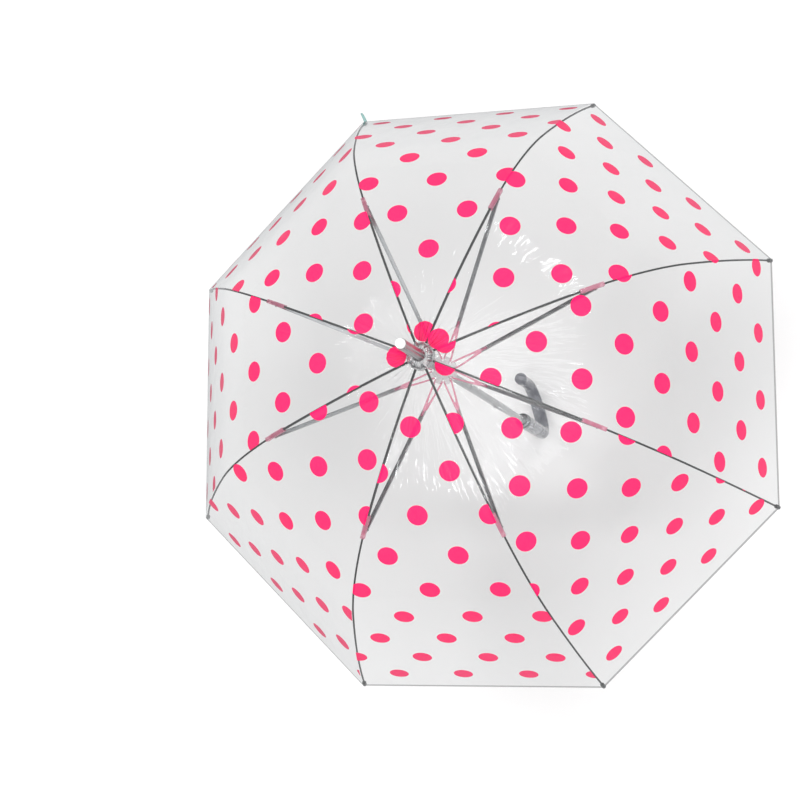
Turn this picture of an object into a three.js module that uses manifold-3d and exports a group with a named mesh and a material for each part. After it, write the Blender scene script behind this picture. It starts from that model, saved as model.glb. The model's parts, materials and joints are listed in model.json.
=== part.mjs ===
// A clear bubble umbrella, open: a deep eight-gore dome of film on a folding frame, with a crook handle.
// Millimetres, +Z up along the shaft. The origin is on the shaft's axis at the middle of the grip.
import * as THREE from 'three';
import { mergeVertices } from 'three/addons/utils/BufferGeometryUtils.js';
import Module from 'manifold-3d';

const wasm = await Module();
wasm.setup();

// ---------------------------------------------------------------- driving dimensions
const RIBS = 8;
const PITCH = (2 * Math.PI) / RIBS;
const FIRST_RIB = THREE.MathUtils.degToRad(112.5);
const CROOK_AZIMUTH = THREE.MathUtils.degToRad(105);
const CATCH_AZIMUTH = THREE.MathUtils.degToRad(-90);
const CLEARANCE = 0.3;

const CROWN_Z = 720; // top of the canopy
const PIVOT_R = 14; // hinge circle of the ribs in the notch, and of the stretchers in the runner
const NOTCH_Z = CROWN_Z - 4.6; // height of the ribs' hinge circle

// The rib's line leaves the notch at START_SLOPE below the horizontal and is three tangent arcs.
const START_SLOPE = THREE.MathUtils.degToRad(5.4);
const RIB_ARCS = [
  { length: 180, slope: THREE.MathUtils.degToRad(21), steps: 5 },
  { length: 158, slope: THREE.MathUtils.degToRad(56.6), steps: 9 },
  { length: 207, slope: THREE.MathUtils.degToRad(67.2), steps: 6 },
];
const RIB_LENGTH = RIB_ARCS.reduce((sum, arc) => sum + arc.length, 0);

const RIB_WIDTH = 2.4;
const RIB_HEIGHT = 3;
const ROD_SIZE = 2.2;
const EYE_R = 1.6;
const EYE_HOLE_R = 0.9;

const JOINT_S = 201; // where the stretcher meets the rib, measured along the rib
const JOINT_DROP = 6.2; // stretcher pivot's distance inside the rib's line
const SLEEVE_BEFORE = 21;
const SLEEVE_AFTER = 9;
const SLEEVE_HALF = 2.4;
const LUG_WIDTH = 1.6;
const PIN_R = 0.5;
const PIN_HOLE_R = 0.8;

const CHANNEL_WIDTH = 4.4;
const CHANNEL_HEIGHT = 3.6;
const CHANNEL_WALL = 0.7;
const CHANNEL_FLOOR_START = 9;
const FORK_LENGTH = 40;
const FORK_HEIGHT = 3.2;
const FORK_LEG_IN = 3.3;
const FORK_LEG_OUT = 4.9;

const FILM_IN = 3; // the canopy solid's inner and outer face, outside the rib's line
const FILM_OUT = 4.2;
const FILM_HOLE_R = 6.6;
const HEM_S = RIB_LENGTH - 4;

const TIP_R = 2.7;
const TIP_BORE_R = 1.9;
const TIP_LENGTH = 10;

const SHAFT_R = 5;
const SHAFT_BORE_R = 4;
const SLIDE_R = 5.4; // bore of everything that fits over the shaft

const CAP_TOP_Z = CROWN_Z + 4;
const CAP_RIM_R = 13;
const FERRULE_R = 6.25;
const FERRULE_FOOT_R = 7.45;
const FERRULE_TOP_Z = CROWN_Z + 88;
const PLUG_HEIGHT = 4; // the part of the ferrule's plug that shows
const PLUG_DEPTH = 8; // the part of it inside the ferrule
const SHAFT_IN_FERRULE = 14;

const NECK_R = 8.5;
const NECK_LENGTH = 14;
const DISC_BELOW = 4.2; // the notch's disc, below and above the hinge circle
const DISC_ABOVE = 2.4;
const GROOVE_HALF = 0.9;
const NOTCH_SLOT_GAP = 0.4; // each side of a rib in its slot
const WIRE_R = 0.55;

const HUB_R = 10.4;
const HUB_ABOVE = 4.5;
const LUG_REACH = 16.5;
const LUG_HALF = 2.9;
const SLEEVE_R = 8.2;
const FLANGE_R = 9.4;
const RUNNER_BELOW = 34;

const COLLAR_TOP_Z = CROWN_Z - 633;
const COLLAR_HEIGHT = 12;
const COLLAR_R = 11.2;
const GRIP_TOP_Z = COLLAR_TOP_Z - COLLAR_HEIGHT - CLEARANCE;
const GRIP_R = 10.5;
const GRIP_TAPER_Z = 110; // the grip is at its full radius this far above the bend's centre
const CROOK_Z = CROWN_Z - 795; // height of the centre of the crook's bend
const CROOK_R = 40;
const ARM_R = 9;
const ARM_RISE = 62;
const ARM_END_R = 9.6;
const SHAFT_IN_GRIP = 70;

const CATCH_WIDTH = 1.8;
const CATCH_PIVOT = 26;
const CATCH_NOSE_R = 7.2;
const CATCH_NOSE_HEIGHT = 4;
const CATCH_SLOT_WIDTH = 2.6;
const CATCH_SLOT_LENGTH = 24;
const CATCH_SLOT_ABOVE = 2;
const BOTTOM_CATCH_DROP = 15; // the bottom catch's ledge, below the closed runner's pivots
const WINDOW_HEIGHT = 14.5; // the runner's window for the bottom catch
const WINDOW_ABOVE = 1.5; // the part of it above the catch's ledge

// ---------------------------------------------------------------- materials
function plain(colour, roughness, metalness = 0) {
  return new THREE.MeshStandardMaterial({ color: colour, roughness, metalness });
}

const FILM = plain(0xdde3e4, 0.12);
FILM.transparent = true;
FILM.opacity = 0.35;
const PINK = plain(0xf27ba4, 0.35);
const DARK_STEEL = plain(0x3c3f42, 0.4, 0.8);
const STEEL = plain(0x8d9194, 0.35, 0.9);
const SILVER = plain(0xb4b5b8, 0.25, 0.9);
const SHAFT_PAINT = plain(0x9a9da0, 0.35, 0.4);
const CLEAR_PLASTIC = plain(0xe4e8ec, 0.25);
const WHITE_PLASTIC = plain(0xf4f4f2, 0.4);
const SMOKE = plain(0x7d828c, 0.2);

// ---------------------------------------------------------------- solids
function solid(geometry) {
  const bare = geometry.clone();
  bare.deleteAttribute('normal');
  bare.deleteAttribute('uv');
  const merged = mergeVertices(bare, 1e-4);
  const vertProperties = Float32Array.from(merged.attributes.position.array);
  const triVerts = Uint32Array.from(merged.index.array);
  return new wasm.Manifold(new wasm.Mesh({ numProp: 3, vertProperties, triVerts }));
}

function geometryOf(manifold) {
  const mesh = manifold.getMesh();
  const geometry = new THREE.BufferGeometry();
  geometry.setAttribute('position', new THREE.BufferAttribute(mesh.vertProperties, 3));
  geometry.setIndex(new THREE.BufferAttribute(mesh.triVerts, 1));
  geometry.computeVertexNormals();
  return geometry;
}

function cut(geometry, ...tools) {
  return geometryOf(tools.reduce((body, tool) => body.subtract(solid(tool)), solid(geometry)));
}

function join(first, ...others) {
  return geometryOf(others.reduce((body, other) => body.add(solid(other)), solid(first)));
}

// A body turned about Z from [radius, height] points, listed anticlockwise.
function turned(points, segments = 24) {
  const outline = points.map(([r, z]) => new THREE.Vector2(r, z));
  return new THREE.LatheGeometry(outline, segments).rotateX(Math.PI / 2);
}

// A hollow body turned about Z: the same, with its profile closed on itself.
function turnedRing(points, segments = 24) {
  return turned([...points, points[0]], segments);
}

// A plate drawn in the plane of one rib, as [radius, height] points, centred on that plane.
function plate(points, width, holes = []) {
  const shape = new THREE.Shape(points.map(([r, z]) => new THREE.Vector2(r, z)));
  shape.holes = holes;
  const geometry = new THREE.ExtrudeGeometry(shape, { depth: width, bevelEnabled: false, curveSegments: 6 });
  return geometry.translate(0, 0, -width / 2).rotateX(Math.PI / 2);
}

function box(size, centre) {
  return new THREE.BoxGeometry(...size).translate(...centre);
}

function circleHole(r, z, radius) {
  const hole = new THREE.Path();
  hole.absarc(r, z, radius, 0, 2 * Math.PI, true);
  return hole;
}

// ---------------------------------------------------------------- the rib's line
// Gives the point and slope at distance s along the rib, shifted by offset towards the canopy.
function ribPoint(s, offset = 0) {
  let r = PIVOT_R;
  let z = NOTCH_Z;
  let slope = START_SLOPE;
  let left = s;
  for (const arc of RIB_ARCS) {
    const bend = (arc.slope - slopeBefore(arc)) / arc.length;
    const run = Math.min(left, arc.length);
    const next = slope + bend * run;
    r += (Math.sin(next) - Math.sin(slope)) / bend;
    z += (Math.cos(next) - Math.cos(slope)) / bend;
    slope = next;
    left -= run;
    if (left <= 0) break;
  }
  r += left > 0 ? left * Math.cos(slope) : 0;
  z -= left > 0 ? left * Math.sin(slope) : 0;
  return { r: r + offset * Math.sin(slope), z: z + offset * Math.cos(slope), slope };
}

function slopeBefore(arc) {
  const index = RIB_ARCS.indexOf(arc);
  return index === 0 ? START_SLOPE : RIB_ARCS[index - 1].slope;
}

// Distances along the rib at the ends of its steps, between two places on it.
function ribStations(from, to) {
  const stations = [from];
  let begin = 0;
  for (const arc of RIB_ARCS) {
    for (let i = 1; i <= arc.steps; i += 1) {
      const s = begin + (arc.length * i) / arc.steps;
      if (s > from + 2 && s < to - 2) stations.push(s);
    }
    begin += arc.length;
  }
  return [...stations, to];
}

// The outline of a strip that follows the rib, as [radius, height] points, anticlockwise.
function ribStrip(from, to, inner, outer) {
  const stations = ribStations(from, to);
  const point = (s, offset) => {
    const { r, z } = ribPoint(s, offset);
    return [r, z];
  };
  return [
    ...stations.map((s) => point(s, inner)),
    ...stations.reverse().map((s) => point(s, outer)),
  ];
}

// ---------------------------------------------------------------- the linkage
const JOINT = ribPoint(JOINT_S, -JOINT_DROP);
const LINK = Math.hypot(JOINT.r - PIVOT_R, JOINT.z - NOTCH_Z);
const LINK_SLOPE = Math.atan2(NOTCH_Z - JOINT.z, JOINT.r - PIVOT_R);
const RUNNER_Z = NOTCH_Z - 2 * LINK * Math.sin(LINK_SLOPE);
const CLOSED_SLOPE = THREE.MathUtils.degToRad(88);
const RUNNER_CLOSED_Z = NOTCH_Z - 2 * LINK * Math.sin(CLOSED_SLOPE);

// ---------------------------------------------------------------- the shaft and what is fixed to it
// The catch leaf's outline in its own plane: its ledge is at height 0, its pivot is CATCH_PIVOT below.
const CATCH_LEAF_R = 2.6; // outer face of the leaf, inside the shaft's bore
const CATCH_OUTLINE = [
  [-1.2, -CATCH_PIVOT - 2],
  [1.4, -CATCH_PIVOT - 2],
  [CATCH_LEAF_R, -CATCH_PIVOT + 6],
  [CATCH_NOSE_R, -CATCH_NOSE_HEIGHT],
  [CATCH_NOSE_R, 0],
  [CATCH_LEAF_R, 0],
  [CATCH_LEAF_R - 0.6, 0.8],
  [-0.6, 0.8],
];
const TOP_CATCH_Z = RUNNER_Z - RUNNER_BELOW - CLEARANCE;
const BOTTOM_CATCH_Z = RUNNER_CLOSED_Z - BOTTOM_CATCH_DROP;

// The slot reaches from above the catch's ledge down past its nose, through the shaft's wall.
function catchSlot(ledgeZ) {
  const centreZ = ledgeZ + CATCH_SLOT_ABOVE - CATCH_SLOT_LENGTH / 2;
  const size = [SHAFT_R + 1, CATCH_SLOT_WIDTH, CATCH_SLOT_LENGTH];
  return box(size, [SHAFT_R, 0, centreZ]).rotateZ(CATCH_AZIMUTH);
}

function shaft() {
  const bottom = GRIP_TOP_Z - SHAFT_IN_GRIP;
  const top = CAP_TOP_Z + SHAFT_IN_FERRULE;
  const tube = turnedRing([[SHAFT_BORE_R, bottom], [SHAFT_R, bottom], [SHAFT_R, top], [SHAFT_BORE_R, top]]);
  return cut(tube, catchSlot(TOP_CATCH_Z), catchSlot(BOTTOM_CATCH_Z));
}

function ferrule() {
  const bottom = CAP_TOP_Z + CLEARANCE;
  const top = FERRULE_TOP_Z - PLUG_HEIGHT;
  return turnedRing([
    [SLIDE_R, bottom], [FERRULE_FOOT_R, bottom], [FERRULE_FOOT_R, bottom + 3], [FERRULE_R, bottom + 5],
    [FERRULE_R, top], [SLIDE_R, top],
  ]);
}

function ferruleCap() {
  const seat = FERRULE_TOP_Z - PLUG_HEIGHT + CLEARANCE;
  const plug = SLIDE_R - CLEARANCE;
  return turned([
    [0, seat - PLUG_DEPTH], [plug, seat - PLUG_DEPTH], [plug, seat], [FERRULE_R, seat],
    [FERRULE_R, FERRULE_TOP_Z - 0.8], [FERRULE_R - 0.8, FERRULE_TOP_Z], [0, FERRULE_TOP_Z],
  ]);
}

function crownCap() {
  const base = CROWN_Z - 0.1;
  return turnedRing([
    [SLIDE_R, base], [CAP_RIM_R, base], [CAP_RIM_R - 1, CROWN_Z + 2],
    [NECK_R, CAP_TOP_Z], [SLIDE_R, CAP_TOP_Z],
  ]);
}

// The notch is a grooved disc with a slot for each rib; the ribs' wire lies in the groove.
function topNotch() {
  const rim = PIVOT_R + 2;
  const bed = PIVOT_R - GROOVE_HALF;
  const disc = turnedRing([
    [SLIDE_R, -NECK_LENGTH], [NECK_R, -NECK_LENGTH], [NECK_R, -DISC_BELOW], [rim, -DISC_BELOW],
    [rim, -GROOVE_HALF], [bed, -GROOVE_HALF], [bed, GROOVE_HALF], [rim, GROOVE_HALF],
    [rim, DISC_ABOVE], [SLIDE_R, DISC_ABOVE],
  ]);
  const slots = [];
  for (let i = 0; i < RIBS; i += 1) {
    const slot = box([8, RIB_WIDTH + 2 * NOTCH_SLOT_GAP, 12], [PIVOT_R + 0.6, 0, 0]);
    slots.push(slot.rotateZ(FIRST_RIB + i * PITCH));
  }
  return cut(disc, ...slots).translate(0, 0, NOTCH_Z);
}

function notchWire() {
  const section = [];
  for (let i = 0; i < 8; i += 1) {
    const turn = (i * Math.PI) / 4;
    section.push([PIVOT_R + WIRE_R * Math.cos(turn), NOTCH_Z + WIRE_R * Math.sin(turn)]);
  }
  return turnedRing(section, 32);
}

function handleCollar() {
  const bottom = COLLAR_TOP_Z - COLLAR_HEIGHT;
  return turnedRing([
    [SLIDE_R, bottom], [COLLAR_R, bottom], [COLLAR_R, COLLAR_TOP_Z - 2.5],
    [COLLAR_R - 2, COLLAR_TOP_Z], [SLIDE_R, COLLAR_TOP_Z],
  ]);
}

class CrookPath extends THREE.Curve {
  getPoint(t, target = new THREE.Vector3()) {
    const bend = Math.PI * CROOK_R;
    const along = t * (bend + ARM_RISE);
    const turn = Math.min(along / CROOK_R, Math.PI);
    const rise = Math.max(along - bend, 0);
    const x = CROOK_R * (1 - Math.cos(turn));
    return target.set(x, 0, CROOK_Z - CROOK_R * Math.sin(turn) + rise);
  }
}

function circle(radius, sides) {
  const shape = new THREE.Shape();
  for (let i = 0; i < sides; i += 1) {
    const turn = (2 * Math.PI * i) / sides;
    const [x, y] = [radius * Math.cos(turn), radius * Math.sin(turn)];
    if (i === 0) shape.moveTo(x, y);
    else shape.lineTo(x, y);
  }
  return shape;
}

function handle() {
  const grip = turned([
    [0, CROOK_Z - 6], [ARM_R - 1, CROOK_Z - 4], [GRIP_R - 0.6, CROOK_Z + GRIP_TAPER_Z / 4],
    [GRIP_R, CROOK_Z + GRIP_TAPER_Z], [GRIP_R, GRIP_TOP_Z], [0, GRIP_TOP_Z],
  ]);
  const crook = new THREE.ExtrudeGeometry(circle(ARM_R, 16), {
    steps: 26, extrudePath: new CrookPath(), bevelEnabled: false,
  });
  const end = new THREE.SphereGeometry(ARM_END_R, 18, 12).translate(2 * CROOK_R, 0, CROOK_Z + ARM_RISE);
  const bore = new THREE.CylinderGeometry(SLIDE_R, SLIDE_R, 2 * SHAFT_IN_GRIP + 4, 24).rotateX(Math.PI / 2);
  const body = join(grip, crook, end);
  return cut(body, bore.translate(0, 0, GRIP_TOP_Z)).rotateZ(CROOK_AZIMUTH);
}

// ---------------------------------------------------------------- the runner and the catches
function runner() {
  const core = turnedRing([
    [SLIDE_R, -RUNNER_BELOW], [FLANGE_R, -RUNNER_BELOW], [FLANGE_R, -RUNNER_BELOW + 3],
    [SLEEVE_R, -RUNNER_BELOW + 4], [SLEEVE_R, -7], [HUB_R, -5], [HUB_R, HUB_ABOVE], [SLIDE_R, HUB_ABOVE],
  ]);
  const lugs = [];
  for (let i = 0; i < RIBS; i += 1) {
    const lug = box([LUG_REACH - HUB_R + 2, 2 * LUG_HALF, 8], [(LUG_REACH + HUB_R - 2) / 2, 0, 0]);
    lugs.push(lug.rotateZ(FIRST_RIB + i * PITCH));
  }
  const windowSize = [8, CATCH_WIDTH + 1.6, WINDOW_HEIGHT];
  const windowZ = WINDOW_ABOVE - BOTTOM_CATCH_DROP - WINDOW_HEIGHT / 2;
  const window = box(windowSize, [8, 0, windowZ]).rotateZ(CATCH_AZIMUTH);
  return cut(join(core, ...lugs), window).translate(0, 0, RUNNER_Z);
}

function catchLeaf(ledgeZ) {
  return plate(CATCH_OUTLINE, CATCH_WIDTH).rotateZ(CATCH_AZIMUTH).translate(0, 0, ledgeZ);
}

// ---------------------------------------------------------------- the pieces of one rib
function ribInner() {
  const half = RIB_HEIGHT / 2;
  const strip = ribStrip(0, JOINT_S + 3, -half, half);
  const eye = [];
  for (let i = 1; i < 6; i += 1) {
    const turn = Math.PI / 2 - START_SLOPE + (i * Math.PI) / 6;
    eye.push([PIVOT_R + EYE_R * Math.cos(turn), NOTCH_Z + EYE_R * Math.sin(turn)]);
  }
  return plate([...strip, ...eye], RIB_WIDTH, [circleHole(PIVOT_R, NOTCH_Z, EYE_HOLE_R)]);
}

function ribOuter() {
  const half = ROD_SIZE / 2;
  return plate(ribStrip(JOINT_S + SLEEVE_AFTER + 0.4, RIB_LENGTH - 2, -half, half), ROD_SIZE);
}

// The moulded joint: a sleeve over the rib's end, with a lug on its inner side that the stretcher turns on.
function ribJoint() {
  const sleeve = plate(
    ribStrip(JOINT_S - SLEEVE_BEFORE, JOINT_S + SLEEVE_AFTER, -SLEEVE_HALF, SLEEVE_HALF),
    2 * SLEEVE_HALF,
  );
  const bore = plate(
    ribStrip(JOINT_S - SLEEVE_BEFORE - 4, JOINT_S + 3.4, -RIB_HEIGHT / 2 - 0.3, RIB_HEIGHT / 2 + 0.3),
    RIB_WIDTH + 0.6,
  );
  const web = ribStrip(JOINT_S - 7, JOINT_S + 3, -JOINT_DROP, -SLEEVE_HALF + 0.4);
  const lug = plate(web, LUG_WIDTH);
  const boss = new THREE.CylinderGeometry(EYE_R + 0.2, EYE_R + 0.2, LUG_WIDTH, 14);
  boss.translate(JOINT.r, 0, JOINT.z);
  const hole = new THREE.CylinderGeometry(PIN_HOLE_R, PIN_HOLE_R, 6, 10).translate(JOINT.r, 0, JOINT.z);
  return cut(join(cut(sleeve, bore), lug, boss), hole);
}

// The stretcher is drawn along +X from its pivot in the rib joint, then laid on the line to the runner.
function stretcher() {
  const end = LINK - FORK_LENGTH;
  const bar = box([end + EYE_R, CHANNEL_WIDTH, CHANNEL_HEIGHT], [(end - EYE_R) / 2, 0, 0]);
  const inside = CHANNEL_WIDTH - 2 * CHANNEL_WALL;
  const trough = box([end + 2, inside, CHANNEL_HEIGHT], [end / 2 - 3, 0, CHANNEL_WALL]);
  const mouthLength = CHANNEL_FLOOR_START + 3;
  const mouth = box([mouthLength, inside, 8], [mouthLength / 2 - 3, 0, 0]);
  const channel = cut(bar, trough, mouth);
  const pin = new THREE.CylinderGeometry(PIN_R, PIN_R, CHANNEL_WIDTH, 8);
  const fork = forkEnd(end - 8);
  const body = join(channel, pin, fork);
  const [c, s] = [Math.cos(LINK_SLOPE), Math.sin(LINK_SLOPE)];
  const along = new THREE.Vector3(-c, 0, -s);
  const up = new THREE.Vector3(-s, 0, c);
  const lay = new THREE.Matrix4().makeBasis(along, new THREE.Vector3(0, -1, 0), up);
  return body.applyMatrix4(lay.setPosition(JOINT.r, 0, JOINT.z));
}

// The moulded fork: a tongue inside the channel's end, then two legs that straddle the runner's lug.
function forkEnd(start) {
  const tongue = (CHANNEL_WIDTH - 2 * CHANNEL_WALL) / 2 + 0.2;
  const shoulder = LINK - FORK_LENGTH + 1;
  const crotch = LINK - FORK_LENGTH + 9;
  const half = [
    [start, tongue], [shoulder, tongue], [shoulder + 2, 2.6],
    [LINK - 3, FORK_LEG_OUT], [LINK + EYE_R, FORK_LEG_OUT],
    [LINK + EYE_R, FORK_LEG_IN], [LINK - 3, FORK_LEG_IN], [crotch, 0.6],
  ];
  const outline = [...half.map(([x, y]) => [x, -y]), ...half.reverse()];
  const shape = new THREE.Shape(outline.map(([x, y]) => new THREE.Vector2(x, y)));
  const height = FORK_HEIGHT - 0.4;
  const fork = new THREE.ExtrudeGeometry(shape, { depth: height, bevelEnabled: false });
  fork.translate(0, 0, -height / 2);
  const hole = new THREE.CylinderGeometry(PIN_HOLE_R, PIN_HOLE_R, 14, 10).translate(LINK, 0, 0);
  return cut(fork, hole);
}

function ribTip() {
  const foot = ribPoint(RIB_LENGTH - 9);
  const cap = turned([
    [0, TIP_LENGTH - 2.2], [TIP_BORE_R, TIP_LENGTH - 2.2], [TIP_BORE_R, 0], [TIP_R - 0.4, 0], [TIP_R, 0.8],
    [TIP_R, TIP_LENGTH - 1.6], [TIP_R - 1, TIP_LENGTH], [0, TIP_LENGTH],
  ], 14);
  const turn = Math.PI / 2 + ribPoint(RIB_LENGTH - 4).slope;
  return cap.rotateY(turn).translate(foot.r, 0, foot.z);
}

// A short closing strap of film, which stands out past the first rib's tip.
function closingStrap() {
  const { slope } = ribPoint(RIB_LENGTH);
  const corner = ribPoint(RIB_LENGTH + 2.5);
  const [length, width, thickness, corner_cut] = [20, 12, 1, 3];
  const outline = [
    [0, -width / 2], [length - corner_cut, -width / 2], [length, -width / 2 + corner_cut],
    [length, width / 2 - corner_cut], [length - corner_cut, width / 2], [0, width / 2],
  ];
  return plate(outline, thickness).rotateY(slope).translate(corner.r, 0, corner.z);
}

// ---------------------------------------------------------------- the canopy
// One gore is the flat-chorded dome between two ribs: an eight-sided dome met with a wedge.
function gore() {
  const flat = ribPoint(0, FILM_IN);
  const flatTop = ribPoint(0, FILM_OUT);
  const strip = ribStrip(0, HEM_S, FILM_IN, FILM_OUT);
  const profile = [[FILM_HOLE_R, flat.z], ...strip, [FILM_HOLE_R, flatTop.z]];
  const outline = [...profile, profile[0]].map(([r, z]) => new THREE.Vector2(r, z));
  const dome = new THREE.LatheGeometry(outline, RIBS, PITCH / 2).rotateX(Math.PI / 2);
  const reach = 520;
  const gap = CLEARANCE / 2 / Math.sin(PITCH / 2);
  const side = reach * Math.tan(PITCH / 2);
  const shape = new THREE.Shape([
    new THREE.Vector2(gap, 0), new THREE.Vector2(reach + gap, -side), new THREE.Vector2(reach + gap, side),
  ]);
  const wedge = new THREE.ExtrudeGeometry(shape, { depth: 800, bevelEnabled: false });
  return geometryOf(solid(dome).intersect(solid(wedge)));
}

// ---------------------------------------------------------------- assembly
const umbrella = new THREE.Group();

function place(name, geometry, material, azimuth = 0) {
  const mesh = new THREE.Mesh(geometry, material);
  mesh.name = name;
  mesh.rotation.z = azimuth;
  umbrella.add(mesh);
}

place('shaft', shaft(), SHAFT_PAINT);
place('ferrule', ferrule(), SILVER);
place('ferrule_cap', ferruleCap(), WHITE_PLASTIC);
place('crown_cap', crownCap(), CLEAR_PLASTIC);
place('top_notch', topNotch(), CLEAR_PLASTIC);
place('notch_wire', notchWire(), STEEL);
place('handle_collar', handleCollar(), DARK_STEEL);
place('handle', handle(), SMOKE);
place('runner', runner(), CLEAR_PLASTIC);
place('top_catch', catchLeaf(TOP_CATCH_Z), STEEL);
place('bottom_catch', catchLeaf(BOTTOM_CATCH_Z), STEEL);

const perRib = [
  ['rib_inner', ribInner(), DARK_STEEL],
  ['rib_outer', ribOuter(), DARK_STEEL],
  ['rib_joint', ribJoint(), PINK],
  ['stretcher', stretcher(), STEEL],
  ['rib_tip', ribTip(), STEEL],
];
for (let i = 0; i < RIBS; i += 1) {
  const azimuth = FIRST_RIB + i * PITCH;
  perRib.forEach(([name, geometry, material]) => place(`${name}_${i + 1}`, geometry, material, azimuth));
}

const goreGeometry = gore();
for (let i = 0; i < RIBS; i += 1) {
  place(`gore_${i + 1}`, goreGeometry, FILM, FIRST_RIB + (i + 0.5) * PITCH);
}
place('closing_strap', closingStrap(), FILM, FIRST_RIB);

export default umbrella;
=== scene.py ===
# %% [markdown]
# # A clear bubble umbrella
# The object is a deep dome of clear film with pink spots, held open by eight ribs round a slim steel
# shaft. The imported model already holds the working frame: where every rib turns, how far the runner
# slides. This lesson dresses that frame. Each cell says what a piece is on the real umbrella, how it
# could be made in Blender, and why one way was chosen.

# %% Load the frame
import json
import math

import bpy
import numpy as np
from mathutils import Matrix, Quaternion, Vector


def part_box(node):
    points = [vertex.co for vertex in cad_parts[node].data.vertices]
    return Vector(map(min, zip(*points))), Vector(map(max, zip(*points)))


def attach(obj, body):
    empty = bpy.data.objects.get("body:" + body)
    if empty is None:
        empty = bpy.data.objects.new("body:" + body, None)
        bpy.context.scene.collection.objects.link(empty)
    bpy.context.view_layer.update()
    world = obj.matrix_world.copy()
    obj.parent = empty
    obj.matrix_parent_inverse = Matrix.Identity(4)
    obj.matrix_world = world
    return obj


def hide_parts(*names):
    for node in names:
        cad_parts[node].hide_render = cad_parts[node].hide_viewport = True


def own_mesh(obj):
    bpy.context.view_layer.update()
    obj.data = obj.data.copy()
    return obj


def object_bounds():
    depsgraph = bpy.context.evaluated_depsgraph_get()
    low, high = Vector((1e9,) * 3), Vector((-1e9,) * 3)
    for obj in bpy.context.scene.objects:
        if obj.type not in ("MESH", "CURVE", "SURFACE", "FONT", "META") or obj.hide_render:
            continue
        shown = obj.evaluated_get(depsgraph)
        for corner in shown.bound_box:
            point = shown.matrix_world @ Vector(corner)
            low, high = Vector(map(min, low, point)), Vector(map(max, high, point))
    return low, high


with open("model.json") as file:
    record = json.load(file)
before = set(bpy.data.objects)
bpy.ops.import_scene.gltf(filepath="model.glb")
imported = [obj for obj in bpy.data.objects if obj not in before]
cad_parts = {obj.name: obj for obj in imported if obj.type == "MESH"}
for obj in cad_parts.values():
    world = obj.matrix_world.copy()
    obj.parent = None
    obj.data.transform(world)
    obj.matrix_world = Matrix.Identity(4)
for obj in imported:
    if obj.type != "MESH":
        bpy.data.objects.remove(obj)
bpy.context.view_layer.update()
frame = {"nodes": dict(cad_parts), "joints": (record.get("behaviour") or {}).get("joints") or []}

joints = {joint["name"]: joint for joint in frame["joints"]}

# %% [markdown]
# ## Sizes that the frame already knows
# The ribs' hinge circle, the runner's height and the ends of the shaft can all be read from the packed
# model. Reading them keeps every visible piece on its working part when the design changes.

# %% Sizes from the frame
MM = 0.001
RIBS = 8
PITCH = 2 * math.pi / RIBS


def hinge_place(name):
    """Radius, azimuth and height of a joint's pivot."""
    x, y, z = joints[name]["pos_m"]
    return math.hypot(x, y), math.atan2(y, x), z


PIVOT_R, FIRST_AZIMUTH, NOTCH_Z = hinge_place("rib_hinge_1")
JOINT_R, _, JOINT_Z = hinge_place("stretcher_hinge_1")
RUNNER_Z = 2 * JOINT_Z - NOTCH_Z
print("hinge circle", round(PIVOT_R, 4), "notch at", round(NOTCH_Z, 4), "runner at", round(RUNNER_Z, 4))


def azimuth(rib):
    return FIRST_AZIMUTH + (rib - 1) * PITCH


def rib_plane(rib):
    """Turns (radius, sideways, height) in the plane of one rib into the object's own frame."""
    return Matrix.Rotation(azimuth(rib), 4, "Z")


# %% [markdown]
# ## The rib's line
# A rib is a springy rod that the film bends. It is nearly straight near the crown, bends hard at the
# shoulder and runs nearly straight down to the hem. A starting slope and three tangent arcs describe
# that with seven numbers, and everything on the canopy is measured along them.

# %% The rib's line
START_SLOPE = math.radians(5.4)
RIB_ARCS = (
    (180 * MM, math.radians(21)),
    (158 * MM, math.radians(56.6)),
    (207 * MM, math.radians(67.2)),
)
RIB_LENGTH = sum(length for length, _ in RIB_ARCS)
JOINT_S = 201 * MM
FLEX_S = 210.2 * MM


def rib_point(s, outward=0.0):
    """Radius, height and slope at distance s along the rib, moved outward towards the film."""
    r, z, slope = PIVOT_R, NOTCH_Z, START_SLOPE
    left = s
    before = START_SLOPE
    for length, after in RIB_ARCS:
        bend = (after - before) / length
        turned_to = slope + bend * min(left, length)
        r += (math.sin(turned_to) - math.sin(slope)) / bend
        z += (math.cos(turned_to) - math.cos(slope)) / bend
        slope, before = turned_to, after
        left -= length
        if left <= 0:
            break
    if left > 0:
        r += left * math.cos(slope)
        z -= left * math.sin(slope)
    return r + outward * math.sin(slope), z + outward * math.cos(slope), slope


print("tip circle", [round(value, 4) for value in rib_point(RIB_LENGTH)])

# %% [markdown]
# ## The camera
# The camera looks down on the open canopy from high up, so that the ferrule points nearly at the
# viewer and the handle shows through the film. A long lens keeps the eight gores nearly alike. The
# angles say which way it looks and how it is rolled; nothing is shifted.

# %% Camera
CAMERA_AIM = Vector((-0.025, -0.048, NOTCH_Z - 0.0035))
CAMERA_DISTANCE = 1.853
CAMERA_HEADING = math.radians(152.44)
CAMERA_ELEVATION = math.radians(73.56)
CAMERA_ROLL = math.radians(63.49)
CAMERA_LENS = 74.3


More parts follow.
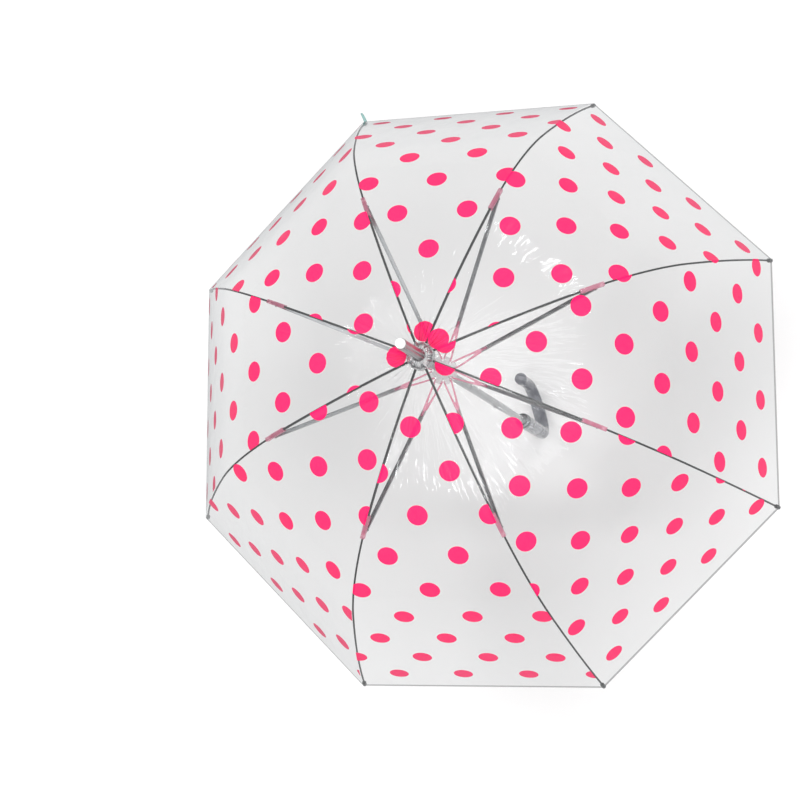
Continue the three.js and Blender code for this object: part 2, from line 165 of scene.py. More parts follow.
def make_camera():
    forward = Vector((
        math.cos(CAMERA_HEADING) * math.cos(CAMERA_ELEVATION),
        math.sin(CAMERA_HEADING) * math.cos(CAMERA_ELEVATION),
        -math.sin(CAMERA_ELEVATION),
    ))
    data = bpy.data.cameras.new("camera")
    data.lens = CAMERA_LENS
    data.sensor_width = 36.0
    data.clip_end = 50.0
    camera = bpy.data.objects.new("camera", data)
    bpy.context.collection.objects.link(camera)
    camera.location = CAMERA_AIM - forward * CAMERA_DISTANCE
    camera.rotation_mode = "QUATERNION"
    level = forward.to_track_quat("-Z", "Y")
    camera.rotation_quaternion = level @ Quaternion((0, 0, 1), -CAMERA_ROLL)
    bpy.context.scene.camera = camera
    return camera


camera = make_camera()
print("camera at", [round(value, 3) for value in camera.location])

# %% [markdown]
# ## Small mesh tools
# Nearly every hard piece here is either turned on a lathe or drawn through a die along a line, as the
# real wire, tube and channel are. Two helpers do that: one spins a profile, one sweeps a section. They
# write plain meshes, because plain meshes ride, pose and export without surprises.

# %% Mesh helpers
def piece(name, points, faces, material, body, smooth_angle=35):
    """A named mesh in the object's frame that rides on a body."""
    mesh = bpy.data.meshes.new(name)
    mesh.from_pydata([tuple(p) for p in points], [], faces)
    mesh.validate()
    mesh.materials.append(material)
    made = bpy.data.objects.new(name, mesh)
    bpy.context.collection.objects.link(made)
    mesh.shade_smooth()
    mesh.set_sharp_from_angle(angle=math.radians(smooth_angle))
    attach(made, body)
    return made


def turned(profile, sides=64):
    """Points and faces of a body spun about Z from (radius, height) pairs; radius 0 closes an end."""
    points, faces, rings = [], [], []
    for r, z in profile:
        if r <= 0:
            rings.append([len(points)])
            points.append((0.0, 0.0, z))
            continue
        ring = []
        for i in range(sides):
            turn = 2 * math.pi * i / sides
            ring.append(len(points))
            points.append((r * math.cos(turn), r * math.sin(turn), z))
        rings.append(ring)
    for low, high in zip(rings, rings[1:]):
        for i in range(sides):
            j = (i + 1) % sides
            if len(low) == 1:
                faces.append((low[0], high[j], high[i]))
            elif len(high) == 1:
                faces.append((low[i], low[j], high[0]))
            else:
                faces.append((low[i], low[j], high[j], high[i]))
    return points, faces


def swept(stations, section):
    """Points and faces of a closed section carried along stations of (centre, across, up, scale)."""
    points, faces = [], []
    count = len(section)
    for centre, across, up, scale in stations:
        for a, b in section:
            points.append(centre + across * (a * scale) + up * (b * scale))
    for k in range(len(stations) - 1):
        for i in range(count):
            j = (i + 1) % count
            at, ahead = k * count, (k + 1) * count
            faces.append((at + i, at + j, ahead + j, ahead + i))
    faces.append(tuple(reversed(range(count))))
    last = (len(stations) - 1) * count
    faces.append(tuple(last + i for i in range(count)))
    return points, faces


def add_uv(made, layer, values):
    """A UV layer that holds one pair of values for each vertex."""
    uv = made.data.uv_layers.new(name=layer)
    for loop in made.data.loops:
        uv.data[loop.index].uv = values[loop.vertex_index]


def round_section(radius, sides=16):
    turns = [2 * math.pi * i / sides for i in range(sides)]
    return [(radius * math.cos(t), radius * math.sin(t)) for t in turns]


def channel_section(width, height, wall):
    """A U of folded strip, open on its upper side, with its corners taken off."""
    w, h, soft = width / 2, height / 2, wall * 0.6
    inner = w - wall
    return [
        (-w + soft, -h), (w - soft, -h), (w, -h + soft), (w, h), (inner, h),
        (inner, -h + wall), (-inner, -h + wall), (-inner, h), (-w, h), (-w, -h + soft),
    ]


def along_rib(rib, start, end, step=8 * MM, outward=0.0):
    """Stations on one rib's line, for a sweep."""
    count = max(2, int(round((end - start) / step)) + 1)
    plane = rib_plane(rib)
    across = plane @ Vector((0, 1, 0))
    stations = []
    for k in range(count):
        s = start + (end - start) * k / (count - 1)
        r, z, slope = rib_point(s, outward)
        up = plane @ Vector((math.sin(slope), 0, math.cos(slope)))
        stations.append((plane @ Vector((r, 0, z)), across, up, 1.0))
    return stations


# %% [markdown]
# ## Finishes
# Each finish is a small node tree on one Principled shader. What changes over the surface, such as
# scuffs, drawing lines or moulding ripple, comes from noise in the piece's own space. What is the same
# everywhere is typed on the shader itself, so that an export keeps it.

# %% Node helpers
def new_material(name, slot):
    material = bpy.data.materials.new(name)
    material.use_nodes = True
    material["slot"] = slot
    material.node_tree.nodes.clear()
    return material, material.node_tree


def add(tree, kind, **settings):
    node = tree.nodes.new(kind)
    for key, value in settings.items():
        if key in node.inputs:
            node.inputs[key].default_value = value
        else:
            setattr(node, key, value)
    return node


def link(tree, source, target):
    tree.links.new(source, target)


def noise(tree, scale, stretch=(1, 1, 1), detail=3.0):
    """Noise in the piece's own space; stretch draws it out along an axis."""
    place = add(tree, "ShaderNodeTexCoord")
    grow = add(tree, "ShaderNodeVectorMath", operation="MULTIPLY")
    grow.inputs[1].default_value = stretch
    grain = add(tree, "ShaderNodeTexNoise")
    grain.inputs["Scale"].default_value = scale
    grain.inputs["Detail"].default_value = detail
    link(tree, place.outputs["Object"], grow.inputs[0])
    link(tree, grow.outputs[0], grain.inputs["Vector"])
    return grain.outputs["Fac"]


def spread(tree, source, low, high):
    """Maps a 0 to 1 value to the range from low to high."""
    ranged = add(tree, "ShaderNodeMapRange")
    ranged.inputs["From Min"].default_value = 0.25
    ranged.inputs["From Max"].default_value = 0.75
    ranged.inputs["To Min"].default_value = low
    ranged.inputs["To Max"].default_value = high
    link(tree, source, ranged.inputs["Value"])
    return ranged.outputs["Result"]


def finish_material(name, slot, dark, light, rough, grain=250.0, stretch=(1, 1, 1), bump=0.1, **sockets):
    """A Principled finish whose colour and roughness drift between two values over the surface."""
    material, tree = new_material(name, slot)
    shader = add(tree, "ShaderNodeBsdfPrincipled")
    for key, value in sockets.items():
        shader.inputs[key.replace("_", " ")].default_value = value
    drift = noise(tree, grain, stretch)
    mix = add(tree, "ShaderNodeMix", data_type="RGBA")
    mix.inputs["A"].default_value = (*dark, 1)
    mix.inputs["B"].default_value = (*light, 1)
    link(tree, spread(tree, drift, 0, 1), mix.inputs["Factor"])
    link(tree, mix.outputs["Result"], shader.inputs["Base Color"])
    link(tree, spread(tree, drift, *rough), shader.inputs["Roughness"])
    raised = add(tree, "ShaderNodeBump")
    raised.inputs["Strength"].default_value = bump
    raised.inputs["Distance"].default_value = 0.0002
    link(tree, drift, raised.inputs["Height"])
    link(tree, raised.outputs[0], shader.inputs["Normal"])
    out = add(tree, "ShaderNodeOutputMaterial")
    link(tree, shader.outputs[0], out.inputs["Surface"])
    return material


# %% Hard finishes
STEEL = finish_material(
    "zinc_steel", "steel", (0.30, 0.31, 0.32), (0.46, 0.47, 0.48), (0.28, 0.42), 180, Metallic=0.9)
LACQUER = finish_material(
    "dark_lacquered_steel", "dark_steel", (0.006, 0.007, 0.008), (0.02, 0.022, 0.025), (0.3, 0.45), 160,
    Specular_IOR_Level=0.3)
DARK_TIP = finish_material(
    "blued_tip_steel", "steel", (0.07, 0.075, 0.08), (0.13, 0.135, 0.14), (0.3, 0.4), 200, Metallic=0.5)
NICKEL = finish_material(
    "satin_nickel", "silver", (0.20, 0.185, 0.19), (0.52, 0.50, 0.51), (0.2, 0.36), 420, (1, 1, 0.02),
    bump=0.3, Metallic=1.0)
SHAFT_GREY = finish_material(
    "grey_shaft_paint", "shaft_paint", (0.27, 0.285, 0.295), (0.33, 0.345, 0.355), (0.25, 0.36), 60,
    Metallic=0.2, Coat_Weight=0.3)
COLLAR = finish_material(
    "dark_chrome", "collar_metal", (0.10, 0.11, 0.12), (0.18, 0.19, 0.20), (0.12, 0.22), 120, Metallic=1.0)
PINK = finish_material(
    "pink_moulding", "pink_plastic", (1.0, 0.24, 0.42), (1.0, 0.36, 0.53), (0.22, 0.34), 160, Alpha=0.55)
CLEAR = finish_material(
    "clear_moulding", "clear_plastic", (0.96, 0.96, 0.97), (0.99, 0.99, 0.99), (0.08, 0.2), 160, Alpha=0.6)
WHITE = finish_material(
    "white_moulding", "white_plastic", (0.86, 0.86, 0.85), (0.92, 0.92, 0.91), (0.28, 0.4), 150)
SMOKE = finish_material(
    "smoky_moulding", "smoke_plastic", (0.012, 0.016, 0.04), (0.37, 0.38, 0.41), (0.06, 0.14), 34,
    Alpha=0.94, Specular_IOR_Level=0.16)
print("finishes", len(bpy.data.materials))

# %% [markdown]
# ## The film
# The canopy is soft clear film about 0.15 mm thick, printed with pink spots before it is cut into
# gores. Glass shaders would bend the view, which thin film doesn't do, so the film is a Transparent
# shader that keeps a little light back, with a mirror layer that grows at grazing angles, a faint
# veil for its haze, and the ink laid on top. Where a spot is seen edge-on, a darker copy of the ink
# is mixed in as painted shade. The spots are not painted by hand: they are worked out from each
# point's place on the flat cut, so they stay round where the film is flat and are cut off at the
# seams like real print.

# %% Film material
SPOT_R = 12.1 * MM
SPOT_CELL = (83 * MM, 102.2 * MM, 1.0)
INK = (0.98, 0.012, 0.14)
# Colour of the painted shade laid on spots where they are seen edge-on.
GRAZING_SHADE_INK = (0.34, 0.01, 0.06)
WELD = 2.6 * MM
HEM = 5.2 * MM
HEM_MARGIN = 8 * MM
CREASE_REACH = 280 * MM
CREASE_LEFT = 0.22
EDGE_BLUR = 0.15 * MM
SPOT_BLUR = 0.12 * MM
FILM_HAZE = 0.025
WELD_HAZE = 0.03
HEM_COVER = 0.56
INK_COVER = 0.96


def spot_distance(tree, place, half_step):
    """Distance from a point of the flat cut to the nearest spot of one of the two lattices."""
    cell = add(tree, "ShaderNodeVectorMath", operation="DIVIDE")
    cell.inputs[1].default_value = SPOT_CELL
    shift = add(tree, "ShaderNodeVectorMath", operation="ADD")
    shift.inputs[1].default_value = (half_step, half_step, 0)
    inside = add(tree, "ShaderNodeVectorMath", operation="FRACTION")
    centred = add(tree, "ShaderNodeVectorMath", operation="SUBTRACT")
    centred.inputs[1].default_value = (0.5, 0.5, 0)
    sized = add(tree, "ShaderNodeVectorMath", operation="MULTIPLY")
    sized.inputs[1].default_value = (SPOT_CELL[0], SPOT_CELL[1], 0)
    far = add(tree, "ShaderNodeVectorMath", operation="LENGTH")
    link(tree, place, cell.inputs[0])
    link(tree, cell.outputs[0], shift.inputs[0])
    link(tree, shift.outputs[0], inside.inputs[0])
    link(tree, inside.outputs[0], centred.inputs[0])
    link(tree, centred.outputs[0], sized.inputs[0])
    link(tree, sized.outputs[0], far.inputs[0])
    return far.outputs["Value"]


def step_below(tree, value, edge, softness):
    """1 where value is under edge, 0 above it."""
    ranged = add(tree, "ShaderNodeMapRange")
    ranged.inputs["From Min"].default_value = edge - softness
    ranged.inputs["From Max"].default_value = edge + softness
    ranged.inputs["To Min"].default_value = 1.0
    ranged.inputs["To Max"].default_value = 0.0
    link(tree, value, ranged.inputs["Value"])
    return ranged.outputs["Result"]


def maths(tree, operation, *values):
    """One maths node; each value is a number or another node's output."""
    node = add(tree, "ShaderNodeMath", operation=operation)
    for index, value in enumerate(values):
        if isinstance(value, (int, float)):
            node.inputs[index].default_value = value
        else:
            link(tree, value, node.inputs[index])
    return node.outputs[0]


def mixed(tree, share, first, second):
    node = add(tree, "ShaderNodeMixShader")
    link(tree, share, node.inputs[0])
    link(tree, first, node.inputs[1])
    link(tree, second, node.inputs[2])
    return node.outputs[0]


def drawn_noise(tree, place, stretch, detail):
    """Noise over one of the film's own coordinates, drawn out by stretch."""
    drawn = add(tree, "ShaderNodeVectorMath", operation="MULTIPLY")
    drawn.inputs[1].default_value = stretch
    wave = add(tree, "ShaderNodeTexNoise")
    wave.inputs["Scale"].default_value = 1.0
    wave.inputs["Detail"].default_value = detail
    link(tree, place, drawn.inputs[0])
    link(tree, drawn.outputs[0], wave.inputs["Vector"])
    return wave.outputs["Fac"]


def film_ripple(tree, cut, fan):
    """The film's waviness: long soft ripples everywhere, and creases that fan out from the crown."""
    split = add(tree, "ShaderNodeSeparateXYZ")
    link(tree, fan, split.inputs[0])
    near_crown = add(tree, "ShaderNodeMapRange", interpolation_type="SMOOTHSTEP")
    near_crown.inputs["From Min"].default_value = 0.0
    near_crown.inputs["From Max"].default_value = CREASE_REACH
    near_crown.inputs["To Min"].default_value = 1.0
    near_crown.inputs["To Max"].default_value = CREASE_LEFT
    link(tree, split.outputs["Y"], near_crown.inputs["Value"])
    fold = drawn_noise(tree, fan, (5.5, 14, 1), 2.0)
    crease = maths(tree, "ABSOLUTE", maths(tree, "SUBTRACT", fold, 0.5))
    creased = maths(tree, "MULTIPLY", crease, near_crown.outputs["Result"])
    soft = maths(tree, "MULTIPLY", drawn_noise(tree, cut, (34, 12, 1), 3.0), 0.45)
    raised = add(tree, "ShaderNodeBump")
    raised.inputs["Strength"].default_value = 0.8
    raised.inputs["Distance"].default_value = 0.006
    link(tree, maths(tree, "ADD", creased, soft), raised.inputs["Height"])
    return raised.outputs[0]


def film_material(name, printed, tint=(0.865, 0.87, 0.87)):
    material, tree = new_material(name, "film")
    cut = add(tree, "ShaderNodeUVMap", uv_map="cut").outputs[0]
    edges = add(tree, "ShaderNodeUVMap", uv_map="edges").outputs[0]
    fan = add(tree, "ShaderNodeUVMap", uv_map="fan").outputs[0]
    normal = film_ripple(tree, cut, fan)
    clear = add(tree, "ShaderNodeBsdfTransparent")
    clear.inputs["Color"].default_value = (*tint, 1)
    mirror = add(tree, "ShaderNodeBsdfGlossy")
    mirror.inputs["Color"].default_value = (0.52, 0.53, 0.54, 1)
    mirror.inputs["Roughness"].default_value = 0.07
    veil = add(tree, "ShaderNodeBsdfDiffuse")
    veil.inputs["Color"].default_value = (0.86, 0.87, 0.88, 1)
    shade = add(tree, "ShaderNodeBsdfDiffuse")
    shade.inputs["Color"].default_value = (0.16, 0.165, 0.165, 1)
    facing = add(tree, "ShaderNodeFresnel")
    facing.inputs["IOR"].default_value = 1.5
    for target in (mirror, veil, facing):
        link(tree, normal, target.inputs["Normal"])
    split = add(tree, "ShaderNodeSeparateXYZ")
    link(tree, edges, split.inputs[0])
    welded = step_below(tree, split.outputs["X"], WELD, EDGE_BLUR)
    folded = step_below(tree, split.outputs["Y"], HEM, EDGE_BLUR)
    haze = maths(tree, "MULTIPLY_ADD", welded, WELD_HAZE, FILM_HAZE)
    film = mixed(tree, facing.outputs[0], clear.outputs[0], mirror.outputs[0])
    film = mixed(tree, haze, film, veil.outputs[0])
    film = mixed(tree, maths(tree, "MULTIPLY", folded, HEM_COVER), film, shade.outputs[0])
    if printed:
        ink = add(tree, "ShaderNodeBsdfPrincipled")
        ink.inputs["Base Color"].default_value = (*INK, 1)
        ink.inputs["Roughness"].default_value = 0.3
        ink.inputs["Specular IOR Level"].default_value = 0.06
        link(tree, normal, ink.inputs["Normal"])
        near = maths(tree, "MINIMUM", spot_distance(tree, cut, 0.5), spot_distance(tree, cut, 0.0))
        bare_hem = step_below(tree, split.outputs["Y"], HEM_MARGIN, EDGE_BLUR)
        printed_part = maths(tree, "MULTIPLY_ADD", bare_hem, -INK_COVER, INK_COVER)
        spot = maths(tree, "MULTIPLY", step_below(tree, near, SPOT_R, SPOT_BLUR), printed_part)
        # Painted shade: a darker copy of the ink, mixed in by the Fresnel factor where the spots are seen
        # edge-on.
        painted_edge_shade = add(tree, "ShaderNodeBsdfDiffuse")
        painted_edge_shade.inputs["Color"].default_value = (*GRAZING_SHADE_INK, 1)
        ink_with_painted_shade = mixed(tree, facing.outputs[0], ink.outputs[0], painted_edge_shade.outputs[0])
        film = mixed(tree, spot, film, ink_with_painted_shade)
    out = add(tree, "ShaderNodeOutputMaterial")
    link(tree, film, out.inputs["Surface"])
    return material


FILM = film_material("printed_film", printed=True)
PLAIN_FILM = film_material("plain_film", printed=False, tint=(0.95, 0.95, 0.95))
STRAP_FILM = finish_material(
    "strap_film", "film", (0.01, 0.20, 0.18), (0.10, 0.50, 0.45), (0.15, 0.3), 160, Alpha=0.8)

# %% [markdown]
# ## Cutting the gores
# On the bench each gore is one flat piece with two curved sides, welded to its neighbours along the
# ribs. Between two ribs the film is pulled straight, so a gore is a straight chord carried down the
# ribs. It could be one mesh, but on the real umbrella each half of a gore is gathered in to the rib
# on its own side when it closes. So each gore is made in halves, and each half in three lengths that
# ride on the two parts of the rib; here the halves only ride on their ribs and are not gathered. They
# meet edge to edge and share one set of normals, so no joint shows.

# %% Gore shape
FILM_RISE = 3.15 * MM
HEM_S = RIB_LENGTH - 4 * MM
GORE_STEPS = 96
HALF_WIDTH = math.sin(PITCH / 2)
HALF_COS = math.cos(PITCH / 2)
GATHER_REACH = 70 * MM
GATHER_DEPTH = 0.9 * MM
GATHER_WAVES = 5.5
GATHER_PHASE = 0.6
# Where the spots' rows fall on each gore: every gore was cut from its own place on the printed roll.
ROLL_SHIFT = [19 * MM, 41 * MM, -10 * MM, -14 * MM, -29 * MM, -27 * MM, 40 * MM, 37 * MM]
FIRST_ROW = 66 * MM


def flat_lengths():
    """Distance down a gore's middle line on the flat cut, at even steps along the rib."""
    lengths = [0.0]
    last = rib_point(0, FILM_RISE)
    for k in range(1, GORE_STEPS + 1):
        here = rib_point(HEM_S * k / GORE_STEPS, FILM_RISE)
        lengths.append(lengths[-1] + math.hypot((here[0] - last[0]) * HALF_COS, here[1] - last[1]))
        last = here
    return lengths


FLAT = flat_lengths()


def flat_at(s):
    return float(np.interp(s, [HEM_S * k / GORE_STEPS for k in range(GORE_STEPS + 1)], FLAT))


def gather(s, across):
    """Small pleats that fan out from the crown and die away down the gore."""
    fade = math.exp(-((s / GATHER_REACH) ** 2))
    held = 1 - across * across
    return GATHER_DEPTH * fade * held * math.sin(GATHER_WAVES * math.pi * across + GATHER_PHASE)


def gore_point(gore, s, across):
    """A point of the film: across runs from -1 on this gore's own rib to 1 on the next."""
    r, z, slope = rib_point(s, FILM_RISE)
    lift = gather(s, across)
    local = Vector((
        r * HALF_COS + lift * math.sin(slope),
        across * r * HALF_WIDTH,
        z + lift * math.cos(slope),
    ))
    return Matrix.Rotation(azimuth(gore) + PITCH / 2, 4, "Z") @ local


def gore_normal(gore, s, across):
    near = 0.5 * MM
    down = gore_point(gore, s + near, across) - gore_point(gore, s - near, across)
    side = gore_point(gore, s, across + 0.01) - gore_point(gore, s, across - 0.01)
    return side.cross(down).normalized() * -1


hem_width = 2 * rib_point(HEM_S)[0] * HALF_WIDTH
print("flat gore", round(FLAT[-1], 3), "m long and", round(hem_width, 3), "m wide")

# %% Cut the film pieces
def film_patch(gore, side, start, end, body, name, across_steps=10, step=7 * MM):
    """Half of a gore between two places along the rib; side is -1 for its own rib and 1 for the next."""
    rows = max(2, int(round((end - start) / step)) + 1)
    points, normals, cut, edges, fan, faces = [], [], [], [], [], []
    for k in range(rows):
        s = start + (end - start) * k / (rows - 1)
        half = rib_point(s, FILM_RISE)[0] * HALF_WIDTH
        for i in range(across_steps + 1):
            share = i / across_steps
            across = side * share
            points.append(gore_point(gore, s, across))
            normals.append(gore_normal(gore, s, across))
            cut.append((across * half - ROLL_SHIFT[gore - 1], flat_at(s) - FIRST_ROW))
            edges.append(((1 - share) * half, HEM_S - s))
            fan.append((across + 3 * gore, s))
    wide = across_steps + 1
    for k in range(rows - 1):
        for i in range(across_steps):
            a, b = k * wide + i, k * wide + i + 1
            quad = (a, b, b + wide, a + wide)
            faces.append(quad if side < 0 else tuple(reversed(quad)))
    made = piece(name, points, faces, FILM, body)
    for layer, values in (("cut", cut), ("edges", edges), ("fan", fan)):
        add_uv(made, layer, values)
    made.data.normals_split_custom_set_from_vertices(normals)
    return made


def gather_axis(gore, side, start, end):
    """The way half a gore folds: across the panel, square to its rib."""
    chord = gore_point(gore, start, 1) - gore_point(gore, start, -1)
    rib_way = gore_point(gore, end, side) - gore_point(gore, start, side)
    rib_way.normalize()
    square = chord - rib_way * chord.dot(rib_way)
    return square.normalized()


def patch_area(made):
    return sum(face.area for face in made.data.polygons)


SHOULDER_END = 335 * MM
LENGTHS = (
    ("upper", 0.0, FLEX_S, "rib_inner"),
    ("shoulder", FLEX_S, SHOULDER_END, "rib_outer"),
    ("skirt", SHOULDER_END, HEM_S, "rib_outer"),
)
film_area = 0.0
for gore in range(1, RIBS + 1):
    for side, rib, half_name in ((-1, gore, "a"), (1, gore % RIBS + 1, "b")):
        for part, start, end, body in LENGTHS:
            name = f"film_{gore}{half_name}_{part}"
            patch = film_patch(gore, side, start, end, f"{body}_{rib}", name)
            area = patch_area(patch)
            film_area += area
            middle = gore_point(gore, (start + end) / 2, side)
            axis = gather_axis(gore, side, start, end)
            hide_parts(f"gore_{gore}")
            wide = rib_point(end, FILM_RISE)[0] * HALF_WIDTH * 1.02
            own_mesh(patch)
print("film in all", round(film_area, 3), "square metres")

# %% [markdown]
# ## The crown
# At the top the eight points of film are gathered round the shaft under a small clear cap, and a frill
# of spare film stands up round the ferrule's foot. The frill is a ring whose height and reach wave as
# it goes round, which is what a gathered edge does.

# %% Crown film and frill
def ring_sheet(name, rings, material, body, sides=192):
    """A sheet between rings that are functions of the turn, each giving (radius, height)."""
    points, faces = [], []
    for ring in rings:
        for i in range(sides):
            turn = 2 * math.pi * i / sides
            r, z = ring(turn)
            points.append((r * math.cos(turn), r * math.sin(turn), z))
    for k in range(len(rings) - 1):
        for i in range(sides):
            j = (i + 1) % sides
            low, high = k * sides, (k + 1) * sides
            faces.append((low + i, low + j, high + j, high + i))
    made = piece(name, points, faces, material, body, smooth_angle=70)
    places = [vertex.co for vertex in made.data.vertices]
    rippled = [(place.x * 40, place.y) for place in places]
    far_from_edges = [(place.x + 1, place.y + 1) for place in places]
    for layer, values in (("cut", rippled), ("edges", far_from_edges), ("fan", rippled)):
        add_uv(made, layer, values)
    return made


CROWN_FILM_Z = rib_point(0, FILM_RISE)[1]
CROWN_HOLE_R = 7 * MM
FRILL_FOOT_R = 7.6 * MM
FRILL_REACH = 7.5 * MM
FRILL_SWAY = 0.9 * MM
FRILL_HEIGHT = 7.4 * MM
FRILL_DROOP = 5.2 * MM
FRILL_FLUTTER = 1.1 * MM


def crown_ring(share):
    def ring(turn):
        rib_turn = (turn - FIRST_AZIMUTH) % PITCH - PITCH / 2
        outer = rib_point(0, FILM_RISE)[0] * HALF_COS / math.cos(rib_turn)
        return CROWN_HOLE_R + (outer - CROWN_HOLE_R) * share, CROWN_FILM_Z
    return ring


def frill_ring(share):
    def ring(turn):
        wave = math.sin(11 * turn) + 0.5 * math.sin(17 * turn + 1.3)
        reach = FRILL_FOOT_R + FRILL_REACH * share + FRILL_SWAY * share * wave
        rise = FRILL_HEIGHT - FRILL_DROOP * share * share + FRILL_FLUTTER * share * wave
        return reach, CROWN_FILM_Z + rise
    return ring


crown_film = ring_sheet("film_crown", [crown_ring(k / 4) for k in range(5)], PLAIN_FILM, "shaft")
frill = ring_sheet("crown_frill", [frill_ring(k / 6) for k in range(7)], PLAIN_FILM, "shaft")

# %% [markdown]
# ## Ferrule, cap and shaft
# The ferrule is a plain nickelled tube with a white plug in its end. The shaft is a drawn tube with two
# slots for the catches. The ferrule and its plug are turned again here with enough sides to look round
# close up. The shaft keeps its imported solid, which already has the slots.

# %% Ferrule and plug
FERRULE_LOW, FERRULE_HIGH = (corner.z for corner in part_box("ferrule"))
FERRULE_R = 6.25 * MM
BORE_R = 5.4 * MM
FOOT_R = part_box("ferrule")[1].x
CAP_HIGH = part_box("ferrule_cap")[1].z
PLUG_R = FERRULE_R - 0.7 * MM
PLUG_STEM_R = 5.1 * MM
PLUG_DEPTH = 12 * MM
PLUG_HEAD = 3.7 * MM
PLUG_ROUND = 0.8 * MM

ferrule_profile = [
    (BORE_R, FERRULE_LOW), (FOOT_R - 0.4 * MM, FERRULE_LOW), (FOOT_R, FERRULE_LOW + 0.4 * MM),
    (FOOT_R, FERRULE_LOW + 2.6 * MM), (FOOT_R - 0.4 * MM, FERRULE_LOW + 3.2 * MM),
    (FERRULE_R + 0.2 * MM, FERRULE_LOW + 4.6 * MM), (FERRULE_R, FERRULE_LOW + 5.2 * MM),
    (FERRULE_R, FERRULE_HIGH - 0.3 * MM), (FERRULE_R - 0.3 * MM, FERRULE_HIGH), (BORE_R, FERRULE_HIGH),
    (BORE_R, FERRULE_LOW),
]
ferrule = piece("ferrule_tube", *turned(ferrule_profile, 72), NICKEL, "shaft")
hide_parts("ferrule")

plug_profile = [
    (0, CAP_HIGH - PLUG_DEPTH), (PLUG_STEM_R, CAP_HIGH - PLUG_DEPTH),
    (PLUG_STEM_R, CAP_HIGH - PLUG_HEAD), (PLUG_R, CAP_HIGH - PLUG_HEAD),
]
for turn in (0, 0.4, 0.8, 1.2, math.pi / 2):
    rounded_r = PLUG_R - PLUG_ROUND * (1 - math.cos(turn))
    plug_profile.append((rounded_r, CAP_HIGH - PLUG_ROUND * (1 - math.sin(turn))))
plug_profile.append((0, CAP_HIGH))
plug = piece("ferrule_plug", *turned(plug_profile, 72), WHITE, "shaft")
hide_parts("ferrule_cap")

# %% [markdown]
# ## Kept parts
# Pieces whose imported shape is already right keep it. They get their finish and a small bevel, because
# no moulded or pressed edge is perfectly sharp and the bevel is what catches the light.

# %% Finish on the kept parts
def keep_node(name, material, bevel=0.15 * MM):
    """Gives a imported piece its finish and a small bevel."""
    node = frame["nodes"][name]
    node.data.materials.clear()
    node.data.materials.append(material)
    rounded = node.modifiers.new("soft edges", "BEVEL")
    rounded.width = bevel
    rounded.segments = 2
    rounded.limit_method = "ANGLE"
    rounded.angle_limit = math.radians(40)


KEPT = {"shaft": SHAFT_GREY, "notch_wire": STEEL, "top_notch": CLEAR, "crown_cap": CLEAR,
        "runner": CLEAR, "top_catch": STEEL, "bottom_catch": STEEL}
for name, material in KEPT.items():
    keep_node(name, material)
for rib in range(1, RIBS + 1):
    keep_node(f"rib_joint_{rib}", PINK, 0.4 * MM)
    keep_node(f"rib_tip_{rib}", DARK_TIP, 0.2 * MM)

# %% [markdown]
# ## Ribs and rods
# The inner part of each rib is a channel of dark lacquered steel, folded so that its open side faces
# the ground. The outer part is a thin springy rod. Both are sections drawn along the rib's line.

# %% Ribs and rods
RIB_SECTION = [(a, -b) for a, b in channel_section(2.4 * MM, 3 * MM, 0.5 * MM)]
RIB_START, RIB_END = 1.6 * MM, JOINT_S + 3 * MM
ROD_SECTION = round_section(1.15 * MM, 14)
ROD_START, ROD_END = FLEX_S - 0.4 * MM, RIB_LENGTH - 2 * MM
for rib in range(1, RIBS + 1):
    channel = swept(along_rib(rib, RIB_START, RIB_END), RIB_SECTION)
    inner = piece(f"rib_channel_{rib}", *channel, LACQUER, f"rib_inner_{rib}")
    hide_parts(f"rib_inner_{rib}")
    wire = swept(along_rib(rib, ROD_START, ROD_END), ROD_SECTION)
    rod = piece(f"rib_rod_{rib}", *wire, LACQUER, f"rib_outer_{rib}")
    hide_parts(f"rib_outer_{rib}")

# %% [markdown]
# ## Stretchers
# Each stretcher is a channel of bare zinc-plated steel that runs from the rib down to the runner. Its
# lower end is a pink moulded fork: a tongue pushed into the channel, then two legs that straddle the
# runner's lug. The fork is drawn flat as an outline and given its thickness, with soft edges.

# %% Stretchers and forks
LINK = math.hypot(JOINT_R - PIVOT_R, JOINT_Z - NOTCH_Z)
LINK_SLOPE = math.atan2(NOTCH_Z - JOINT_Z, JOINT_R - PIVOT_R)
FORK_LENGTH = 40 * MM
CHANNEL = channel_section(4.4 * MM, 3.6 * MM, 0.6 * MM)
CHANNEL_STEPS = 11
CHANNEL_OVERHANG = 1.6 * MM
PIN_REACH = 2.9 * MM
PIN_R = 0.75 * MM
PIN_EASE = 0.3 * MM


def on_stretcher(rib, along, side, up):
    """A point given along the stretcher from its rib joint, sideways, and up towards the rib."""
    c, s = math.cos(LINK_SLOPE), math.sin(LINK_SLOPE)
    local = Vector((JOINT_R - along * c - up * s, -side, JOINT_Z - along * s + up * c))
    return rib_plane(rib) @ local


def stretcher_channel(rib):
    origin = on_stretcher(rib, 0, 0, 0)
    across = on_stretcher(rib, 0, 1, 0) - origin
    up = on_stretcher(rib, 0, 0, 1) - origin
    stations = []
    for k in range(CHANNEL_STEPS + 1):
        along = -CHANNEL_OVERHANG + (LINK - FORK_LENGTH + CHANNEL_OVERHANG) * k / CHANNEL_STEPS
        stations.append((on_stretcher(rib, along, 0, 0), across, up, 1.0))
    return swept(stations, CHANNEL)


def fork_outline():
    """Half of the fork's outline, as (along, side), from the tongue to the end of a leg and back."""
    start = LINK - FORK_LENGTH
    outer = [(-8, 1.6), (0, 1.6), (1.5, 2.5), (6, 2.8), (22, 4.0), (37, 4.9), (40.6, 4.9), (41.4, 4.5)]
    inner = [(41.4, 3.7), (40.6, 3.3), (37, 3.3), (22, 2.2), (12, 1.1), (9.5, 0.4)]
    return [(start + a * MM, b * MM) for a, b in outer + inner]


